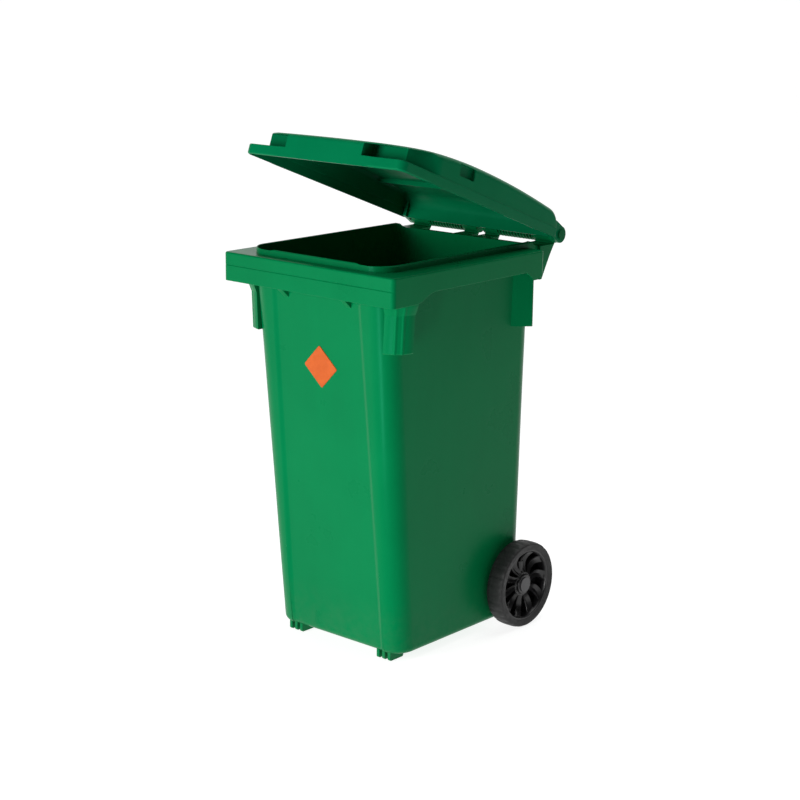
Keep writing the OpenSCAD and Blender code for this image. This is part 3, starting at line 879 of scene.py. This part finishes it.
def wheel():
    """Moulded wheel: rim, spokes and hub, with a dark disc behind the spokes as painted shade, the axle's
    bore, the cap's seat and the lock's tower.
    """
    outer, inner = WHEEL_OUT - 3, WHEEL_IN + 3
    rim_in = RIM_R - RIM_T
    rim = [(inner, RIM_R), (inner, rim_in + 1), (inner + 1, rim_in), (outer - 7, rim_in),
           (outer - 2, rim_in + 1.4), (outer, RIM_R - 2.4), (outer, RIM_R)]
    made = turned("wheel", rim, AXLE_Y, AXLE_Z, 120)
    hub_out = WHEEL_OUT - 8
    hub = rod("hub", WHEEL_IN - 1, hub_out, 2 * HUB_R, AXLE_Y, AXLE_Z, 2)
    collar = rod("collar", WHEEL_IN + 8, hub_out - 5, 2 * HUB_R + 12, AXLE_Y, AXLE_Z, 3)
    # Painted shade: a dark disc behind the spokes fills the gaps between them, where the open-spoked wheel
    # shows only shade.
    back, face = WHEEL_IN + 7, WHEEL_IN + 10
    shade_disc_profile = [(back, HUB_R - 2), (back, rim_in + 2), (face, rim_in + 2), (face, HUB_R - 2)]
    shade_disc = turned("shade_disc", shade_disc_profile, AXLE_Y, AXLE_Z, 120)
    add(made, hub, collar, shade_disc, *[spoke(i) for i in range(SPOKES)])
    shaft = rod("shaft", WHEEL_IN - BEYOND, hub_out - 4, AXLE_BORE + 0.1, AXLE_Y, AXLE_Z, BORE_EDGE)
    seat = rod("seat", hub_out - 6, hub_out + BEYOND, CAP_SEAT, AXLE_Y, AXLE_Z, BORE_EDGE)
    pin_lo, pin_hi = node_box("lock_pin_right")
    x = (pin_lo[0] + pin_hi[0]) / 2
    add(made, upright("tower", x, 54, TOWER_D))
    return cut(made, shaft, seat, upright("tower_bore", x, 50, LOCK_BORE))


def upright(name, x, height, d):
    """A round post that stands on the axle's line."""
    angles = np.arange(40) * 2 * math.pi / 40
    rings = [[(x + d / 2 * math.cos(a), AXLE_Y + d / 2 * math.sin(a), AXLE_Z + z) for a in angles]
             for z in (0, height)]
    return loft(name, rings)


def label():
    """Square plate set on its corner, with rounded corners and a thin raised border."""
    lo, hi = node_box("label_plate")
    centre = (lo + hi) / 2
    side = (hi[0] - lo[0]) / math.sqrt(2)
    tilt = math.atan2(FRONT_TAPER, TUB_TOP - BASE_Z)
    up = np.array([0, -math.sin(tilt), math.cos(tilt)])
    out = np.array([0, -math.cos(tilt), -math.sin(tilt)])
    across = np.array([1, 0, 0])
    thick = 1.6
    half = side / 2 - 0.2
    corner_r = 4
    centre = centre - out * thick / 2
    rings = []
    for inset, level in ((0, -0.3), (0, thick - 0.5), (0.4, thick), (2.6, thick), (3.0, thick - 0.35)):
        ring = []
        scale = (1 - 2 * inset / side) / math.sqrt(2)
        for u, v in plan(half, -half, half, corner_r, corner_r, 6):
            ring.append(centre + across * (u - v) * scale + up * (u + v) * scale + out * level)
        rings.append(ring)
    return smooth(loft("label", rings), 40)


# ---- Materials ----
class Nodes:
    """Short forms for building a node material."""

    def __init__(self, name):
        self.material = bpy.data.materials.new(name)
        self.material.use_nodes = True
        self.tree = self.material.node_tree
        self.shader = self.tree.nodes["Principled BSDF"]
        self.place = self.make("ShaderNodeTexCoord").outputs["Object"]

    def make(self, kind, **settings):
        node = self.tree.nodes.new(kind)
        for key, value in settings.items():
            setattr(node, key, value)
        return node

    def link(self, source, target):
        self.tree.links.new(source, target)

    def stretched(self, scale):
        node = self.make("ShaderNodeMapping")
        node.inputs["Scale"].default_value = scale
        self.link(self.place, node.inputs["Vector"])
        return node.outputs["Vector"]

    def noise(self, scale, detail=3, stretch=None, rough=0.55):
        node = self.make("ShaderNodeTexNoise")
        node.inputs["Scale"].default_value = scale
        node.inputs["Detail"].default_value = detail
        node.inputs["Roughness"].default_value = rough
        self.link(self.stretched(stretch) if stretch else self.place, node.inputs["Vector"])
        return node.outputs["Fac"]

    def spread(self, value, low, high, to_low=0.0, to_high=1.0):
        node = self.make("ShaderNodeMapRange")
        for key, number in zip(("From Min", "From Max", "To Min", "To Max"), (low, high, to_low, to_high)):
            node.inputs[key].default_value = number
        self.link(value, node.inputs["Value"])
        return node.outputs["Result"]

    def mix(self, factor, a, b):
        node = self.make("ShaderNodeMix", data_type="RGBA")
        for socket, value in ((node.inputs[6], a), (node.inputs[7], b)):
            if isinstance(value, tuple):
                socket.default_value = (*value, 1)
            else:
                self.link(value, socket)
        self.link(factor, node.inputs["Factor"])
        return node.outputs[2]

    def math(self, operation, a, b):
        node = self.make("ShaderNodeMath", operation=operation)
        for socket, value in zip(node.inputs, (a, b)):
            if isinstance(value, (int, float)):
                socket.default_value = value
            else:
                self.link(value, socket)
        return node.outputs[0]

    def height(self):
        node = self.make("ShaderNodeSeparateXYZ")
        self.link(self.place, node.inputs[0])
        return node.outputs["Z"]

    def bump(self, value, distance, strength=1.0, under=None):
        node = self.make("ShaderNodeBump")
        node.inputs["Distance"].default_value = distance
        node.inputs["Strength"].default_value = strength
        self.link(value, node.inputs["Height"])
        if under is not None:
            self.link(under, node.inputs["Normal"])
        return node.outputs["Normal"]

    def finish(self, color, roughness, normal=None, metallic=0.0, **constants):
        self.link(color, self.shader.inputs["Base Color"])
        self.link(roughness, self.shader.inputs["Roughness"])
        self.shader.inputs["Metallic"].default_value = metallic
        if normal is not None:
            self.link(normal, self.shader.inputs["Normal"])
        for key, value in constants.items():
            self.shader.inputs[key.replace("_", " ")].default_value = value
        return self.material


GREEN = (0.0, 0.136, 0.041)
LID_GREEN = (0.0, 0.135, 0.049)
GREEN_SHEEN = (0.10, 0.90, 0.62, 1)
DUST = (0.16, 0.17, 0.13)
RUBBER_BLACK = (0.005, 0.005, 0.0055)
RUBBER_DUST = (0.016, 0.016, 0.015)
WHEEL_BLACK = (0.0035, 0.0035, 0.004)
CAP_BLACK = (0.035, 0.035, 0.037)
SCRATCH = (0.08, 0.08, 0.08)
ZINC = (0.62, 0.62, 0.60)
SPRING = (0.55, 0.56, 0.58)
ORANGE_WORN = (0.41, 0.070, 0.006)
ORANGE = (0.46, 0.083, 0.009)


def shade(color, factor):
    """A colour made darker or lighter."""
    return tuple(c * factor for c in color)


def moulded(name, color, low, high):
    """Moulded polyethylene: calm tone with faint flow marks, fine grain, slightly scuffed gloss and a
    little dust near the ground."""
    n = Nodes(name)
    cloud = n.noise(4.5, 4)
    flow = n.noise(1, 3, (26, 26, 2.2))
    tone = n.mix(n.spread(cloud, 0.35, 0.68), shade(color, 0.96), shade(color, 1.04))
    streaked = n.mix(n.spread(flow, 0.42, 0.75, 0, 0.35), tone, shade(color, 1.10))
    scuff = n.spread(n.noise(14, 3, (1, 1, 0.4), 0.5), 0.5, 0.8)
    dust = n.spread(n.height(), 0.01, 0.14, 0.07, 0.0)
    dusty = n.math("MULTIPLY", dust, n.spread(n.noise(55, 6), 0.35, 0.7))
    final = n.mix(dusty, streaked, DUST)
    patch = n.spread(n.noise(9, 5), 0.3, 0.72, low, high)
    rough = n.math("ADD", n.math("ADD", patch, n.math("MULTIPLY", scuff, 0.03)),
                   n.math("MULTIPLY", dusty, 0.5))
    grain = n.bump(n.noise(520, 2), 0.00002)
    swell = n.bump(n.noise(9, 1), 0.0006, 0.35, grain)
    return n.finish(final, rough, swell, IOR=1.5, Specular_IOR_Level=0.10, Specular_Tint=GREEN_SHEEN)


def rubber():
    """Black rubber with a fine grain and dust in its tread."""
    n = Nodes("tyre_rubber")
    dust = n.spread(n.noise(60, 6), 0.48, 0.8, 0, 0.5)
    color = n.mix(dust, RUBBER_BLACK, RUBBER_DUST)
    rough = n.spread(n.noise(90, 4), 0.3, 0.7, 0.52, 0.72)
    return n.finish(color, rough, n.bump(n.noise(900, 3), 0.0001))


def black_plastic(name, color, low, high):
    """Moulded black plastic with a satin skin and light scratches."""
    n = Nodes(name)
    tone = n.mix(n.spread(n.noise(30, 5), 0.35, 0.7), shade(color, 0.85), shade(color, 1.25))
    scratch = n.spread(n.noise(1, 4, (700, 60, 60)), 0.62, 0.72)
    marked = n.mix(n.math("MULTIPLY", scratch, 0.2), tone, SCRATCH)
    rough = n.math("ADD", n.spread(n.noise(45, 4), 0.3, 0.7, low, high), n.math("MULTIPLY", scratch, 0.12))
    return n.finish(marked, rough, n.bump(n.noise(650, 3), 0.00008))


def steel(name, color, low, high):
    """Zinc-plated steel, drawn along X, with dull patches."""
    n = Nodes(name)
    drawn = n.noise(1, 3, (15, 900, 900))
    tone = n.mix(n.spread(drawn, 0.3, 0.7), shade(color, 0.8), color)
    rough = n.math("ADD", n.spread(n.noise(60, 5), 0.35, 0.7, low, high), n.math("MULTIPLY", drawn, 0.1))
    return n.finish(tone, rough, n.bump(drawn, 0.00004), metallic=1.0)


def label_print():
    """Satin printed plate with a slightly worn face."""
    n = Nodes("label_print")
    tone = n.mix(n.spread(n.noise(70, 5), 0.35, 0.7), ORANGE_WORN, ORANGE)
    rough = n.spread(n.noise(120, 4), 0.3, 0.7, 0.28, 0.42)
    return n.finish(tone, rough, n.bump(n.noise(700, 2), 0.00003), Specular_IOR_Level=0.2)


tub_material = moulded("tub_polyethylene", GREEN, 0.26, 0.36)
lid_material = moulded("lid_polyethylene", LID_GREEN, 0.28, 0.38)
pin_material = moulded("pin_plastic", shade(GREEN, 0.7), 0.34, 0.45)
wheel_material = black_plastic("wheel_plastic", WHEEL_BLACK, 0.30, 0.42)
cap_material = black_plastic("cap_plastic", CAP_BLACK, 0.30, 0.42)
rubber_material = rubber()
axle_material = steel("zinc_steel", ZINC, 0.28, 0.42)
spring_material = steel("spring_steel", SPRING, 0.18, 0.30)
label_material = label_print()


def dress(obj, material, body, slot, *nodes):
    """Gives a piece its material and body, and hides the CAD nodes it stands for; the slot argument is not
    used.
    """
    obj.data.materials.clear()
    obj.data.materials.append(material)
    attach(obj, body)
    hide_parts(*nodes)


def dress_node(node, material):
    """Gives a CAD node that stays a better material."""
    for slot in frame["nodes"][node].material_slots:
        slot.material = material


def build_wheels():
    """The right wheel and its tyre, and their mirror images on the left."""
    right = smooth(wheel(), 35)
    right.name = "spoked_wheel_right"
    rubber_ring = smooth(tyre(), 40)
    rubber_ring.name = "tread_right"
    left = mirrored(right, "spoked_wheel_left")
    left_ring = mirrored(rubber_ring, "tread_left")
    smooth(left, 35)
    smooth(left_ring, 40)
    for side, moulding, ring in (("right", right, rubber_ring), ("left", left, left_ring)):
        dress(moulding, wheel_material, "wheel_" + side, "wheel_plastic", "wheel_" + side)
        dress(ring, rubber_material, "wheel_" + side, "tyre_rubber", "tyre_" + side)


dress(tub(), tub_material, "tub", "tub_plastic", "body")
dress(lid(), lid_material, "lid", "lid_plastic", "lid")
dress(label(), label_material, "tub", "label", "label_plate")
build_wheels()
dress_node("axle", axle_material)
for side in ("left", "right"):
    dress_node("hinge_pin_" + side, pin_material)
    dress_node("hub_cap_" + side, cap_material)
    dress_node("axle_spacer_" + side, wheel_material)
    dress_node("lock_pin_" + side, spring_material)
    dress_node("lock_spring_" + side, spring_material)


# ---- Studio: floor and backdrop in one sweep, soft lights, camera ----
def studio():
    """A pale sweep: floor that curves up into a backdrop."""
    half, depth, rise, bend = 9000, 6000, 6500, 2500
    profile = [(-depth, 0), (depth - bend, 0)]
    profile += [(depth - bend + bend * math.sin(a), bend - bend * math.cos(a)) for a in quarter(16)[1:]]
    profile += [(depth, rise)]
    turn = math.radians(VIEW_AZIMUTH)
    c, s = math.cos(turn), math.sin(turn)
    points = []
    for y, z in profile:
        for x in (-half, half):
            points.append((x * c - y * s, x * s + y * c, z))
    faces = [(2 * i, 2 * i + 1, 2 * i + 3, 2 * i + 2) for i in range(len(profile) - 1)]
    sweep = mesh_object("studio_sweep", points, faces)
    sweep.data.shade_smooth()
    n = Nodes("studio_paper")
    tone = n.mix(n.noise(0.6, 2), (0.30, 0.30, 0.30), (0.32, 0.32, 0.32))
    rough = n.spread(n.noise(3, 2), 0, 1, 0.85, 0.95)
    paper = n.finish(tone, rough, Emission_Color=(1, 1, 1, 1), Emission_Strength=0.86)
    sweep.data.materials.append(paper)


def area_light(name, place, target, size, power):
    """A rectangular light at a place, aimed at a target, both in metres."""
    data = bpy.data.lights.new(name, "AREA")
    data.shape = "RECTANGLE"
    data.size, data.size_y = size
    data.energy = power
    light = bpy.data.objects.new(name, data)
    bpy.context.scene.collection.objects.link(light)
    light.location = place
    light.rotation_euler = (Vector(target) - Vector(place)).to_track_quat("-Z", "Y").to_euler()


def lighting():
    """A low key from the front left, a narrow strip for the near corner's streak and a soft overhead."""
    middle = (0, 0, 0.5)
    near_corner = (0.17, -0.27, 0.36)
    behind = (0.1, 0.3, 0)
    area_light("key", (-1.3, -4.4, 1.25), middle, (2.0, 2.0), 190)
    area_light("strip", (0.46, -1.23, 0.30), near_corner, (0.05, 0.5), 6)
    area_light("overhead", (0.1, 0.6, 3.2), behind, (2.4, 2.4), 55)
    world = bpy.data.worlds.new("studio")
    world.use_nodes = True
    background = world.node_tree.nodes["Background"]
    background.inputs["Color"].default_value = (1, 1, 1, 1)
    background.inputs["Strength"].default_value = 0.06
    bpy.context.scene.world = world


def camera():
    """The camera at the reference's viewing angle, aimed at a point inside the bin."""
    azimuth, elevation, roll = (math.radians(v) for v in (VIEW_AZIMUTH, 13.8, 0.7))
    distance = 4.140
    target = Vector((0.0469, -0.056, 0.547))
    level = math.cos(elevation)
    back = Vector((math.sin(azimuth) * level, -math.cos(azimuth) * level, math.sin(elevation)))
    data = bpy.data.cameras.new("camera")
    data.lens = 84.0
    data.sensor_width = 36
    data.clip_end = 100
    made = bpy.data.objects.new("camera", data)
    bpy.context.scene.collection.objects.link(made)
    made.location = target + back * distance
    made.rotation_euler = (-back).to_track_quat("-Z", "Y").to_euler()
    made.rotation_euler.rotate_axis("Z", roll)
    bpy.context.scene.camera = made


studio()
lighting()
camera()
bpy.context.scene.view_settings.view_transform = "Standard"
